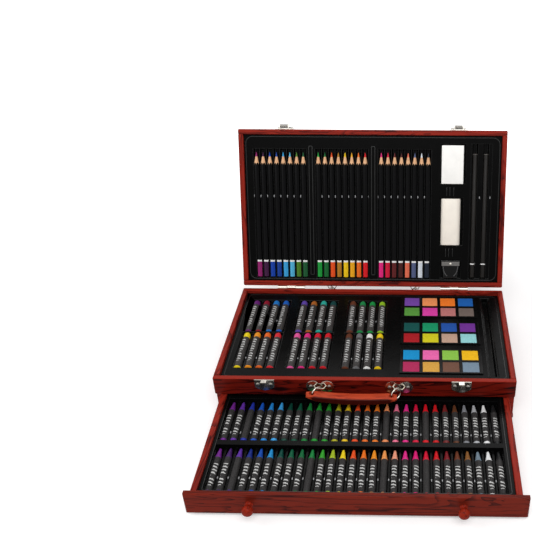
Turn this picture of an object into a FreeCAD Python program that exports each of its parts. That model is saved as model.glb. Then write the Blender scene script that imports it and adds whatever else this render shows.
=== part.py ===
import FreeCAD, Part
import math
import os
from FreeCAD import Vector

# A wooden art case: a tray of pencils in the hinged lid, a tray of pastels and paints in the case,
# and a pull-out drawer of crayons.  X runs to the right, Y to the back and Z up.  The origin is the
# centre of the case's underside.  The case stands open: lid up, drawer out, hasps folded back.

# ---- driving dimensions: case ----
case_width = 381.0
case_depth = 221.0
case_height = 58.0
wall = 7.0
corner_round = 2.0
bottom_board = 3.0
rail_height = 24.5
shelf_board = 3.0
shelf_below_rim = 13.25
groove_depth = 3.0
groove_play = 0.1

# ---- driving dimensions: lid ----
lid_height = 38.0
lid_wall = 7.0
lid_board = 3.5
lid_gap = 0.3
lid_open_angle = 113.5

# ---- driving dimensions: drawer ----
drawer_kept_in = 28.0
front_board = 6.7
front_board_gap = 0.8
drawer_back_room = 3.3
drawer_side_wall = 7.3
drawer_side_play = 0.5
drawer_back_wall = 6.0
drawer_floor_play = 0.4
drawer_head_room = 9.55
drawer_bottom = 3.0
drawer_bottom_lift = 11.8

# ---- driving dimensions: moulded trays ----
tray_sheet = 1.0
tray_below_rim = 4.5
drawer_tray_lift = 1.2
tray_edge_play = 0.3

# ---- driving dimensions: contents ----
crayon_radius = 4.1
crayon_tip_radius = 1.2
crayon_length = 75.5
crayon_cone = 15.5
crayon_count = 28
crayon_row_room = 11.48
crayon_row_shift = -1.65
crayon_front_room = 9.3
crayon_row_gap = 10.9
pencil_radius = 3.6
pencil_end_room = 30.0
pencil_cone = 17.0
pencil_tip_radius = 0.7
pencil_pitch = 9.6
pencil_group_count = 8
pencil_group_shares = (-0.3491, -0.1165, 0.1202)
pencil_butt = 13.0
pastel_radius = 5.0
pastel_length = 80.0
pastel_tip_round = 3.2
pastel_pitch = 14.0
pastel_group_count = 4
pastel_group_shares = (-0.3793, -0.1995, -0.0144)
pastel_back_room = 27.0
pastel_row_gap = 3.0
groove_fit = 0.25
ridge_flat = 4.0
pan_width = 99.0
pan_length = 46.5
pan_height = 4.0
pan_proud = 1.6
pan_centre_share = 0.2509
pan_row_room = 24.0
pan_row_shift = 3.7
cake_columns = 4
cake_rows = 2
cake_gap = 3.0
cake_height = 2.2
stick_sides = 8
knob_sides = 12
brush_slot_share = 0.4291
brush_slot_width = 13.0
brush_slot_end_room = 16.0
eraser_size = (34.5, 53.0, 11.0)
eraser_shares = (0.3018, 0.7941)
block_size = (32.0, 66.0, 12.0)
block_shares = (0.2992, 0.4276)
block_round = 4.5
sharpener_size = (28.0, 25.0, 9.0)
sharpener_shares = (0.2992, 0.1176)
sharpener_bore = (3.8, 0.8)
stick_radius = 3.4
stick_over_pencil = 6.0
stick_shares = (0.3832, 0.4239)
stick_bay_sides = (6.0, 9.0)
bend_steps = 6
knuckle_sides = 16

# ---- driving dimensions: hinges ----
hinge_shares = (-0.315, 0.315)
hinge_width = 40.0
hinge_leaf_height = 13.0
leaf_sheet = 1.0
knuckle_radius = 2.2
knuckle_gap = 0.3
pin_radius = 1.2
pin_running_fit = 0.05

# ---- driving dimensions: latches ----
latch_shares = (-0.3294, 0.3194)
latch_width = 25.0
latch_sheet = 1.2
latch_plate_height = 16.0
latch_plate_lift = 3.0
latch_pin_lift = 6.5
latch_screw_drop = 5.2
latch_pin_out = 5.0
latch_pin_radius = 1.0
latch_knuckle_radius = 2.2
latch_strip_width = 10.6
latch_ear_gap = 0.3
latch_ear_radius = 2.6
hasp_length = 39.3
hasp_frame_drop = 9.5
hasp_frame_width = 21.5
hasp_rail = 3.0
hasp_window_drop = 4.5
hasp_window_height = 7.0
hasp_window_width = 7.8
hook_plate_drop = 0.6
hook_plate_height = 16.4
hook_screw_lift = 9.5
hook_width = 7.0
hook_reach = 9.0
hook_lip = 1.6
screw_radius = 2.4
screw_rise = 1.0

# ---- driving dimensions: handles ----
front_handle_share = -0.016
front_eye_spacing = 99.0
front_eye_drop = 10.0
back_handle_centre = 0.0
back_eye_spacing = 125.0
back_eye_below_top = 12.3
eye_stand_off = 6.2
eye_lobe_radius = 8.7
eye_lobe_spacing = 17.6
eye_waist = 9.0
lobe_sides = 20
eye_plate_sheet = 1.0
eye_strap_sheet = 1.2
eye_strap_height = 2.6
eye_strap_flat = 4.6
eye_strap_foot = 6.8
eye_screw_spacing = 23.0
ring_radius = 8.25
ring_wire = 1.0
ring_step_count = 20
ring_wire_sides = 6
ring_back_out = 2.4
ring_drop = 4.8
ring_eye_shift = 2.5
grip_hole_out = 14.0
grip_hole_radius = 3.4
grip_end_beyond_hole = 7.0
grip_thickness = 13.5
grip_end_height = 8.0
grip_middle_height = 10.5
grip_end_top = -0.5
grip_middle_sag = 3.7
grip_round = 2.0
grip_half_span_count = 5
grip_end_taper = 2.4
front_grip_tilt = 1.5
rivet_inboard = 6.5
rivet_radius = 2.0
wood_density = 0.65
steel_density = 7.8

# ---- driving dimensions: knobs ----
knob_spacing_share = 0.622
knob_below_middle = 0.2
knob_radius = 6.6
knob_neck_radius = 3.6
knob_neck_length = 6.0
knob_head_length = 9.0

# ---- places that follow from them ----
half_width = case_width / 2
front = -case_depth / 2
back = case_depth / 2
rail_foot = case_height - rail_height
shelf_top = case_height - shelf_below_rim
lid_foot = case_height + lid_gap
lid_top = lid_foot + lid_height
pin_out = knuckle_radius + knuckle_gap
pin_place = Vector(0, back + pin_out, case_height + lid_gap / 2)
front_face_inner = front + front_board
front_board_foot = bottom_board + front_board_gap - 0.1
front_board_height = rail_foot - front_board_gap - front_board_foot
drawer_length = case_depth - wall - front_board - drawer_back_room
drawer_pull = drawer_length - drawer_kept_in
drawer_half_width = half_width - wall - drawer_side_play
drawer_inner_half = drawer_half_width - drawer_side_wall
drawer_side_foot = bottom_board + drawer_floor_play
drawer_rim = shelf_top - shelf_board - drawer_head_room
drawer_end = front_face_inner + drawer_length
drawer_floor = drawer_side_foot + drawer_bottom_lift + drawer_bottom
crayon_pitch = (2 * drawer_inner_half - crayon_row_room) / crayon_count
crayon_front_row_tip = crayon_front_room + crayon_length
crayon_back_row_tip = crayon_front_row_tip + crayon_row_gap + crayon_length
knob_spacing = case_width * knob_spacing_share
knob_height = front_board_foot + front_board_height / 2 - knob_below_middle
pencil_length = case_depth - 2 * lid_wall - pencil_end_room
pencil_group_centres = [case_width * share for share in pencil_group_shares]
stick_length = pencil_length + stick_over_pencil
stick_places = [case_width * share for share in stick_shares]
eraser_place = (case_width * eraser_shares[0], case_depth * eraser_shares[1])
block_place = (case_width * block_shares[0], case_depth * block_shares[1])
sharpener_place = (case_width * sharpener_shares[0], case_depth * sharpener_shares[1])
pastel_group_centres = [case_width * share for share in pastel_group_shares]
pastel_back_row_tip = case_depth - pastel_back_room
pastel_row_tips = (pastel_back_row_tip, pastel_back_row_tip - pastel_length - pastel_row_gap)
pan_centre_x = case_width * pan_centre_share
pan_spacing = (case_depth - pan_row_room) / 3
pan_middle_y = case_depth / 2 + pan_row_shift
pan_centres_y = (pan_middle_y + pan_spacing, pan_middle_y, pan_middle_y - pan_spacing)
brush_slot_x = case_width * brush_slot_share
brush_slot_ends = (brush_slot_end_room, case_depth - brush_slot_end_room)
hinge_places = [case_width * share for share in hinge_shares]
latch_places = [case_width * share for share in latch_shares]
latch_plate_foot = case_height + latch_plate_lift
latch_plate_top = latch_plate_foot + latch_plate_height
latch_pin_height = case_height + latch_pin_lift
hasp_foot = latch_pin_height - hasp_length
hasp_frame_top = latch_pin_height - hasp_frame_drop
hasp_window_top = latch_pin_height - hasp_window_drop
hasp_window_foot = hasp_window_top - hasp_window_height
hook_plate_top = case_height - hook_plate_drop
hook_plate_foot = hook_plate_top - hook_plate_height
front_handle_centre = case_width * front_handle_share
front_eye_height = case_height - front_eye_drop
x_axis = Vector(1, 0, 0)
y_axis = Vector(0, 1, 0)
z_axis = Vector(0, 0, 1)
past = 1.0

os.makedirs("parts", exist_ok=True)


def box(x0, x1, y0, y1, z0, z1):
    return Part.makeBox(x1 - x0, y1 - y0, z1 - z0, Vector(x0, y0, z0))


def rod(radius, start, end):
    return Part.makeCylinder(radius, (end - start).Length, start, end - start)


def prism(outline, depth):
    """Extrude a closed list of points, or of edges, along a vector."""
    wire = outline
    if not isinstance(outline, Part.Wire):
        wire = Part.makePolygon(list(outline) + [outline[0]])
    return Part.Face(wire).extrude(depth)


def bend(start, through, end):
    """Points along an arc, from its start to its end, joined by short straight runs."""
    return Part.Arc(start, through, end).toShape().discretize(bend_steps + 1)


def skinned(sections):
    """A solid with flat faces between sections, which are lists of equally many points."""
    loops = [list(sections[0])[::-1], list(sections[-1])]
    for lower, upper in zip(sections, sections[1:]):
        for k in range(len(lower)):
            after = (k + 1) % len(lower)
            loops.append([lower[k], lower[after], upper[after], upper[k]])
    faces = [Part.Face(Part.makePolygon(loop + loop[:1])) for loop in loops]
    solid = Part.makeSolid(Part.makeShell(faces))
    return solid if solid.Volume > 0 else solid.reversed()


def faceted(stations, sides, turn=0.5):
    """A turned form with flat facets: each station is a radius and a height on the Y axis."""
    sections = []
    for radius, height in stations:
        angles = [2 * math.pi * (k + turn) / sides for k in range(sides)]
        sections.append([Vector(radius * math.sin(a), height, radius * math.cos(a)) for a in angles])
    return skinned(sections)


def facet_rod(radius, x0, x1, y, z):
    """A many-sided rod along X."""
    rod_piece = faceted([(radius, x0), (radius, x1)], knuckle_sides)
    return moved(turned(rod_piece, Vector(0, 0, 0), z_axis, -90), 0, y, z)


def turned(shape, centre, axis, angle):
    copy = shape.copy()
    copy.rotate(centre, axis, angle)
    return copy


def moved(shape, x, y, z):
    copy = shape.copy()
    copy.translate(Vector(x, y, z))
    return copy


def save(name, *solids):
    shape = solids[0] if len(solids) == 1 else Part.makeCompound(list(solids))
    shape.exportStep("parts/" + name + ".step")


def round_upright_edges(shape, radius, wanted):
    """Round the upright edges whose middle point the test accepts."""
    edges = []
    for edge in shape.Edges:
        middle = edge.CenterOfMass
        upright = abs(edge.Vertexes[0].Z - edge.Vertexes[-1].Z) > 1 and len(edge.Vertexes) == 2
        level = abs(edge.Vertexes[0].X - edge.Vertexes[-1].X) + abs(edge.Vertexes[0].Y - edge.Vertexes[-1].Y)
        if upright and level < 0.01 and wanted(middle):
            edges.append(edge)
    return shape.makeFillet(radius, edges)


# The lid is drawn lying on its back: y counts from the hinge side and the rim is at z = 0.
# These two turns take it over the case and then up to its open angle.
def over_case(shape):
    closed = turned(shape, Vector(0, 0, 0), x_axis, 180)
    closed.translate(Vector(0, back, lid_foot))
    return closed


def opened(shape):
    return turned(shape, pin_place, x_axis, -lid_open_angle)


def pulled(shape):
    return moved(shape, 0, -drawer_pull, 0)


# ---- case boards ----
# The front rail and the back board run the full width, and the side boards stand between them.
def shelf_groove():
    reach = groove_depth + groove_play
    return box(-half_width + wall - reach, half_width - wall + reach, front + wall - reach,
               back - wall + reach, shelf_top - shelf_board - groove_play, shelf_top + groove_play)


def case_boards():
    groove = shelf_groove()
    bottom = box(-half_width, half_width, front, back, 0, bottom_board)
    bottom = round_upright_edges(bottom, corner_round, lambda point: True)
    save("case_bottom_board", bottom)
    rail = box(-half_width, half_width, front, front + wall, rail_foot, case_height)
    rail = round_upright_edges(rail, corner_round, lambda point: point.y < front + past)
    save("case_front_rail", rail.cut(groove))
    rear = box(-half_width, half_width, back - wall, back, bottom_board, case_height)
    rear = round_upright_edges(rear, corner_round, lambda point: point.y > back - past)
    save("case_back_board", rear.cut(groove))
    for side, name in ((-1, "case_left_side"), (1, "case_right_side")):
        inner = side * (half_width - wall)
        outer = side * half_width
        board = box(min(inner, outer), max(inner, outer), front + wall, back - wall,
                    bottom_board, case_height)
        save(name, board.cut(groove))
    reach = groove_depth
    shelf = box(-half_width + wall - reach, half_width - wall + reach, front + wall - reach,
                back - wall + reach, shelf_top - shelf_board, shelf_top)
    save("case_shelf", shelf)


# ---- moulded trays ----
# A pocket's form is the space it holds, grown by a sheet for its outside.  Its floor is flat or
# is a row of half-round grooves with narrow lands between them.
def pocket_form(x0, x1, y0, y1, floor, mouth, grow=0.0, grooves=(), radius=0.0):
    left = x0 - grow
    right = x1 + grow
    low = floor - grow
    y_start = y0 - grow
    depth = Vector(0, y1 - y0 + 2 * grow, 0)
    if not grooves:
        return box(left, right, y_start, y_start + depth.y, low, mouth)
    grown = radius + grow
    half_floor = grown * math.tan(math.pi / 6)
    half_mouth = min(grown / math.cos(math.pi / 6), (x1 - x0 - ridge_flat) / len(grooves) / 2)
    points = [Vector(left, y_start, mouth), Vector(left, y_start, low)]
    for centre in grooves:
        points += [Vector(centre - half_mouth, y_start, low), Vector(centre - half_floor, y_start, floor - grown),
                   Vector(centre + half_floor, y_start, floor - grown), Vector(centre + half_mouth, y_start, low)]
    points += [Vector(right, y_start, low), Vector(right, y_start, mouth)]
    return prism(points, depth)


def moulded_tray(flange, pockets):
    """A flange plate with thin-walled pockets hanging from it."""
    mouth = flange.BoundBox.ZMax
    body = flange
    for pocket in pockets:
        body = body.fuse(pocket_form(mouth=mouth, grow=tray_sheet, **pocket))
    for pocket in pockets:
        body = body.cut(pocket_form(mouth=mouth + past, **pocket))
    return body.removeSplitter()


def row_of_places(centre, count, pitch):
    return [centre + (index - (count - 1) / 2) * pitch for index in range(count)]


# ---- case tray with pastels and paints ----
case_tray_top = case_height - tray_below_rim
pastel_axis_z = shelf_top + tray_sheet + groove_fit + pastel_radius
pan_floor = case_tray_top - pan_height + pan_proud


def pastel():
    shoulder = pastel_length - pastel_tip_round
    return faceted([(pastel_radius, 0), (pastel_radius, shoulder),
                    (pastel_radius - pastel_tip_round, pastel_length)], stick_sides)


def case_tray():
    flange = box(-half_width + wall + tray_edge_play, half_width - wall - tray_edge_play,
                 front + wall + tray_edge_play, back - wall - tray_edge_play,
                 case_tray_top - tray_sheet, case_tray_top)
    pockets = []
    sticks = []
    one = pastel()
    for tip in pastel_row_tips:
        for centre in pastel_group_centres:
            places = row_of_places(centre, pastel_group_count, pastel_pitch)
            pockets.append({"x0": places[0] - pastel_pitch / 2, "x1": places[-1] + pastel_pitch / 2,
                            "y0": front + tip - pastel_length - 1, "y1": front + tip + 1,
                            "floor": pastel_axis_z, "grooves": places,
                            "radius": pastel_radius + groove_fit})
            sticks += [moved(one, x, front + tip - pastel_length, pastel_axis_z) for x in places]
    for y in pan_centres_y:
        pockets.append({"x0": pan_centre_x - pan_width / 2 - 1, "x1": pan_centre_x + pan_width / 2 + 1,
                        "y0": front + y - pan_length / 2 - 1, "y1": front + y + pan_length / 2 + 1,
                        "floor": pan_floor})
    pockets.append({"x0": brush_slot_x - brush_slot_width / 2, "x1": brush_slot_x + brush_slot_width / 2,
                    "y0": front + brush_slot_ends[0], "y1": front + brush_slot_ends[1],
                    "floor": pastel_axis_z, "grooves": [brush_slot_x],
                    "radius": pastel_radius + groove_fit})
    save("case_tray", moulded_tray(flange, pockets))
    save("pastels", *sticks)


def paint_pans():
    pans = []
    cakes = []
    cake_width = (pan_width - (cake_columns + 1) * cake_gap) / cake_columns
    cake_length = (pan_length - (cake_rows + 1) * cake_gap / 2) / cake_rows
    for y in pan_centres_y:
        x0 = pan_centre_x - pan_width / 2
        y0 = front + y - pan_length / 2
        pan = box(x0, x0 + pan_width, y0, y0 + pan_length, pan_floor, pan_floor + pan_height)
        for column in range(cake_columns):
            for row in range(cake_rows):
                x = x0 + cake_gap + column * (cake_width + cake_gap)
                z = pan_floor + pan_height - cake_height
                start = y0 + cake_gap / 2 + row * (cake_length + cake_gap / 2)
                pan = pan.cut(box(x, x + cake_width, start, start + cake_length, z, z + cake_height + past))
                cakes.append(box(x, x + cake_width, start, start + cake_length,
                                 z, z + cake_height - 0.6))
        pans.append(pan)
    save("paint_pans", *pans)
    save("paint_cakes", *cakes)


# ---- drawer ----
def drawer_boards():
    front_piece = box(-half_width, half_width, front, front_face_inner, front_board_foot,
                      front_board_foot + front_board_height)
    front_piece = round_upright_edges(front_piece, corner_round, lambda point: point.y < front + past)
    panel_low = drawer_floor - drawer_bottom
    reach = groove_depth + groove_play
    groove = box(-drawer_inner_half - reach, drawer_inner_half + reach, front_face_inner - reach,
                 drawer_end - drawer_back_wall + reach, panel_low - groove_play, drawer_floor + groove_play)
    save("drawer_front", pulled(front_piece.cut(groove)))
    for side, name in ((-1, "drawer_left_side"), (1, "drawer_right_side")):
        inner = side * drawer_inner_half
        outer = side * drawer_half_width
        board = box(min(inner, outer), max(inner, outer), front_face_inner, drawer_end,
                    drawer_side_foot, drawer_rim)
        save(name, pulled(board.cut(groove)))
    rear = box(-drawer_inner_half, drawer_inner_half, drawer_end - drawer_back_wall, drawer_end,
               drawer_side_foot, drawer_rim)
    save("drawer_back", pulled(rear.cut(groove)))
    reach = groove_depth
    panel = box(-drawer_inner_half - reach, drawer_inner_half + reach, front_face_inner - reach,
                drawer_end - drawer_back_wall + reach, panel_low, drawer_floor)
    save("drawer_bottom", pulled(panel))


def knob(x):
    """A turned knob: a flared foot, a waisted neck and a rounded head."""
    head = knob_neck_length
    stations = [(knob_neck_radius + 1.4, 0), (knob_neck_radius, 2.4), (knob_neck_radius + 0.4, head - 0.8),
                (knob_radius - 1.0, head + 0.8), (knob_radius, head + knob_head_length * 0.4),
                (knob_radius * 0.86, head + knob_head_length * 0.75), (knob_radius * 0.4, head + knob_head_length)]
    shape = faceted(stations, knob_sides)
    return moved(turned(shape, Vector(0, 0, 0), z_axis, 180), x, front, knob_height)


def crayon():
    shoulder = crayon_length - crayon_cone
    return faceted([(crayon_radius, 0), (crayon_radius, shoulder), (crayon_tip_radius, crayon_length)], stick_sides)


def drawer_contents():
    mouth = drawer_rim - tray_below_rim + drawer_tray_lift
    axis_z = drawer_floor + tray_sheet + groove_fit + crayon_radius
    flange = box(-drawer_inner_half + tray_edge_play, drawer_inner_half - tray_edge_play,
                 front_face_inner + tray_edge_play, drawer_end - drawer_back_wall - tray_edge_play,
                 mouth - tray_sheet, mouth)
    places = row_of_places(crayon_row_shift, crayon_count, crayon_pitch)
    one = crayon()
    pockets = []
    for tip, name in ((crayon_back_row_tip, "crayons_back_row"), (crayon_front_row_tip, "crayons_front_row")):
        pockets.append({"x0": places[0] - crayon_pitch / 2, "x1": places[-1] + crayon_pitch / 2,
                        "y0": front + tip - crayon_length - 1.5, "y1": front + tip + 1.5,
                        "floor": axis_z, "grooves": places, "radius": crayon_radius + groove_fit})
        row = [moved(one, x, front + tip - crayon_length, axis_z) for x in places]
        save(name, *[pulled(piece) for piece in row])
    save("drawer_tray", pulled(moulded_tray(flange, pockets)))


# ---- lid ----
def lid_boards():
    end = case_depth
    low = -lid_height
    panel = box(-half_width + lid_wall, half_width - lid_wall, lid_wall, end - lid_wall, low, low + lid_board)
    save("lid_panel", opened(over_case(panel)))
    hinge_wall = box(-half_width, half_width, 0, lid_wall, low, 0)
    hinge_wall = round_upright_edges(hinge_wall, corner_round, lambda point: point.y < past)
    save("lid_hinge_wall", opened(over_case(hinge_wall)))
    front_wall = box(-half_width, half_width, end - lid_wall, end, low, 0)
    front_wall = round_upright_edges(front_wall, corner_round, lambda point: point.y > end - past)
    save("lid_front_wall", opened(over_case(front_wall)))
    for side, name in ((-1, "lid_left_wall"), (1, "lid_right_wall")):
        inner = side * (half_width - lid_wall)
        outer = side * half_width
        board = box(min(inner, outer), max(inner, outer), lid_wall, end - lid_wall, low, 0)
        save(name, opened(over_case(board)))


def pencil():
    shoulder = pencil_length - pencil_cone
    return faceted([(pencil_radius, 0), (pencil_radius, shoulder), (pencil_tip_radius, pencil_length)], 6, 0.0)


lid_tray_top = -tray_below_rim
pencil_axis_z = -6.6


def lid_contents():
    flange = box(-half_width + lid_wall + tray_edge_play, half_width - lid_wall - tray_edge_play,
                 lid_wall + tray_edge_play, case_depth - lid_wall - tray_edge_play,
                 lid_tray_top - tray_sheet, lid_tray_top)
    pockets = []
    pencils = []
    one = pencil()
    bay_end = pencil_butt + pencil_length + 5
    for centre in pencil_group_centres:
        places = row_of_places(centre, pencil_group_count, pencil_pitch)
        pockets.append({"x0": places[0] - pencil_pitch / 2, "x1": places[-1] + pencil_pitch / 2,
                        "y0": pencil_butt - 2, "y1": bay_end, "floor": pencil_axis_z,
                        "grooves": places, "radius": pencil_radius + groove_fit})
        pencils += [moved(one, x, pencil_butt, pencil_axis_z) for x in places]
    for (x, y), (width, length, height) in ((eraser_place, eraser_size), (block_place, block_size),
                                            (sharpener_place, sharpener_size)):
        pockets.append({"x0": x - width / 2 - 1, "x1": x + width / 2 + 1, "y0": y - length / 2 - 1,
                        "y1": y + length / 2 + 1, "floor": -height - 1.2})
    pockets.append({"x0": stick_places[0] - stick_bay_sides[0], "x1": stick_places[1] + stick_bay_sides[1],
                    "y0": pencil_butt - 1, "y1": bay_end + 8, "floor": pencil_axis_z, "grooves": stick_places,
                    "radius": stick_radius + groove_fit})
    save("lid_tray", opened(over_case(moulded_tray(flange, pockets))))
    save("pencils", *[opened(over_case(piece)) for piece in pencils])
    stick = faceted([(stick_radius, 0), (stick_radius, stick_length)], stick_sides)
    sticks = [moved(stick, x, pencil_butt + 1, pencil_axis_z) for x in stick_places]
    save("drawing_sticks", *[opened(over_case(piece)) for piece in sticks])
    eraser = contents_block(eraser_place, eraser_size, 1.0)
    save("eraser", opened(over_case(eraser)))
    block = contents_block(block_place, block_size, block_round)
    save("ivory_block", opened(over_case(block)))
    sharpener()


def contents_block(place, size, rounding):
    (x, y), (width, length, height) = place, size
    shape = box(x - width / 2, x + width / 2, y - length / 2, y + length / 2, -height - 1.0, -1.0)
    edges = [edge for edge in shape.Edges
             if abs(edge.Vertexes[0].Y - edge.Vertexes[-1].Y) > 1]
    return shape.makeFillet(rounding, edges)


def sharpener():
    (x, y), (width, length, height) = sharpener_place, sharpener_size
    top = -2.4
    waist = width * 0.34
    right_side = bend(Vector(x + width / 2, y + length / 2, top), Vector(x + width / 2 - 3, y, top),
                      Vector(x + waist, y - length / 2, top))
    left_side = bend(Vector(x - waist, y - length / 2, top), Vector(x - width / 2 + 3, y, top),
                     Vector(x - width / 2, y + length / 2, top))
    body = prism(right_side + left_side, Vector(0, 0, -height + 1.4))
    bore = faceted([(sharpener_bore[0], -0.5), (sharpener_bore[1], length - 4.5)], knob_sides)
    body = body.cut(moved(bore, x, y - length / 2, top - 4.2))
    blade = box(x - width / 2 + 1, x + width / 2 - 1, y + length / 2 - 7.5, y + length / 2 - 1.5, top, top + 0.8)
    save("sharpener", opened(over_case(body)))
    save("sharpener_blade", opened(over_case(blade)))


# ---- hinges ----
# Each leaf lies on the back and meets its knuckles tangentially.  The case's leaf has the two outer
# knuckles and holds the pin, and the lid's leaf turns on the middle one.
def hinge_leaf(x, upward, segments):
    y0 = back
    y1 = back + leaf_sheet
    clear = knuckle_radius + 0.3
    sign = 1 if upward else -1
    axis_y = pin_place.y
    axis_z = pin_place.z
    far = axis_z + sign * hinge_leaf_height
    near = axis_z + sign * clear
    leaf = box(x - hinge_width / 2, x + hinge_width / 2, y0, y1, min(near, far), max(near, far))
    bore = pin_radius + (pin_running_fit if upward else 0.0)
    for start, end in segments:
        web = box(x + start, x + end, y0, y1, min(axis_z, near), max(axis_z, near))
        knuckle = facet_rod(knuckle_radius, x + start, x + end, axis_y, axis_z)
        leaf = leaf.fuse(web).fuse(knuckle)
    cutter = rod(bore, Vector(x - hinge_width, axis_y, axis_z), Vector(x + hinge_width, axis_y, axis_z))
    return leaf.cut(cutter).removeSplitter()


def hinges():
    third = hinge_width / 6
    half = hinge_width / 2
    outer = ((-half, -third), (third, half))
    inner = ((-third + knuckle_gap, third - knuckle_gap),)
    save("case_hinge_leaves", *[hinge_leaf(x, False, outer) for x in hinge_places])
    save("lid_hinge_leaves", *[opened(hinge_leaf(x, True, inner)) for x in hinge_places])
    save("hinge_pins", *[rod(pin_radius, pin_place + Vector(x - half, 0, 0), pin_place + Vector(x + half, 0, 0))
                         for x in hinge_places])


# ---- screws ----
def screw_head(x, y, z):
    """A low domed head standing on a plate that faces the front."""
    head = faceted([(screw_radius, 0), (screw_radius, screw_rise * 0.45), (screw_radius * 0.5, screw_rise)],
                   stick_sides)
    return moved(turned(head, Vector(0, 0, 0), z_axis, 180), x, y, z)


# ---- latches ----
# The lid plate carries two ears and a pin.  The hasp hangs from the pin, and its window drops over
# the hook of the plate on the front rail.
def arched_plate(x, foot, top, width, y, sheet):
    shoulder = top - width * 0.2
    half = width / 2
    crown = bend(Vector(x + half, y, shoulder), Vector(x, y, top), Vector(x - half, y, shoulder))
    return prism([Vector(x - half, y, foot), Vector(x + half, y, foot)] + crown, Vector(0, -sheet, 0))


def latch_plate(x):
    plate = arched_plate(x, latch_plate_foot, latch_plate_top, latch_width, front, latch_sheet)
    inner = latch_strip_width / 2 + latch_ear_gap
    pin_y = front - latch_pin_out
    foot = latch_pin_height - latch_ear_radius
    top = latch_pin_height + latch_ear_radius
    for x0 in (x - inner - latch_sheet, x + inner):
        nose = bend(Vector(x0, pin_y, top), Vector(x0, pin_y - latch_ear_radius, latch_pin_height),
                    Vector(x0, pin_y, foot))
        outline = [Vector(x0, front - latch_sheet, foot), Vector(x0, front - latch_sheet, top)] + nose
        plate = plate.fuse(prism(outline, Vector(latch_sheet, 0, 0)))
    reach = inner + latch_sheet
    hole = rod(latch_pin_radius, Vector(x - reach - past, pin_y, latch_pin_height),
               Vector(x + reach + past, pin_y, latch_pin_height))
    return plate.cut(hole).removeSplitter()


def latch_pin(x):
    reach = latch_strip_width / 2 + latch_ear_gap + latch_sheet + 0.5
    return rod(latch_pin_radius, Vector(x - reach, front - latch_pin_out, latch_pin_height),
               Vector(x + reach, front - latch_pin_out, latch_pin_height))


def hasp(x):
    """The closed hasp: knuckle, strip with the hook's window, and a U-shaped frame with two slots."""
    pin_y = front - latch_pin_out
    inner_y = pin_y - latch_knuckle_radius + latch_sheet
    half = latch_strip_width / 2
    frame_half = hasp_frame_width / 2
    curve_top = hasp_foot + frame_half * 0.8
    sweep = Vector(0, -latch_sheet, 0)
    bow = bend(Vector(x + frame_half, inner_y, curve_top), Vector(x, inner_y, hasp_foot),
               Vector(x - frame_half, inner_y, curve_top))
    frame = prism([Vector(x - frame_half, inner_y, hasp_frame_top),
                   Vector(x + frame_half, inner_y, hasp_frame_top)] + bow, sweep)
    strip_inner = half - 0.15
    for side in (-1, 1):
        slot_near = x + side * strip_inner
        slot_far = x + side * (frame_half - hasp_rail)
        frame = frame.cut(box(min(slot_near, slot_far), max(slot_near, slot_far), inner_y - latch_sheet - past,
                              inner_y + past, curve_top, hasp_frame_top - hasp_rail))
    y_outer = inner_y - latch_sheet
    strip = box(x - half, x + half, y_outer, inner_y, hasp_frame_top - past, latch_pin_height)
    knuckle = facet_rod(latch_knuckle_radius, x - half, x + half, pin_y, latch_pin_height)
    body = frame.fuse(strip).fuse(knuckle)
    body = body.cut(box(x - hasp_window_width / 2, x + hasp_window_width / 2, y_outer - past, inner_y + past,
                        hasp_window_foot, hasp_window_top))
    body = body.cut(rod(latch_pin_radius + pin_running_fit, Vector(x - half - past, pin_y, latch_pin_height),
                        Vector(x + half + past, pin_y, latch_pin_height)))
    return body.removeSplitter()


def hook_plate(x):
    half = latch_width / 2
    shoulder = hook_plate_foot + 5.5
    bow = bend(Vector(x + half, front, shoulder), Vector(x, front, hook_plate_foot),
               Vector(x - half, front, shoulder))
    plate = prism([Vector(x - half, front, hook_plate_top), Vector(x + half, front, hook_plate_top)] + bow,
                  Vector(0, -latch_sheet, 0))
    tongue = box(x - hook_width / 2, x + hook_width / 2, front - hook_reach, front,
                 hook_plate_top - latch_sheet, hook_plate_top)
    lip = box(x - hook_width / 2, x + hook_width / 2, front - hook_reach, front - hook_reach + latch_sheet,
              hook_plate_top - latch_sheet, hook_plate_top + hook_lip)
    return plate.fuse(tongue).fuse(lip).removeSplitter()


def latches():
    pin = Vector(0, front - latch_pin_out, latch_pin_height)
    screws = []
    hook_screws = []
    screw_x = latch_width / 2 - 4.3
    for x, side in zip(latch_places, ("left", "right")):
        save("latch_plate_" + side, opened(latch_plate(x)))
        save("hasp_" + side, opened(turned(hasp(x), pin, x_axis, -180)))
        save("hook_plate_" + side, hook_plate(x))
        for offset in (-screw_x, screw_x):
            screws.append(opened(screw_head(x + offset, front - latch_sheet, latch_plate_top - latch_screw_drop)))
            hook_screws.append(screw_head(x + offset, front - latch_sheet, hook_plate_foot + hook_screw_lift))
    save("latch_pins", *[opened(latch_pin(x)) for x in latch_places])
    save("latch_plate_screws", *screws)
    save("hook_plate_screws", *hook_screws)


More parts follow.
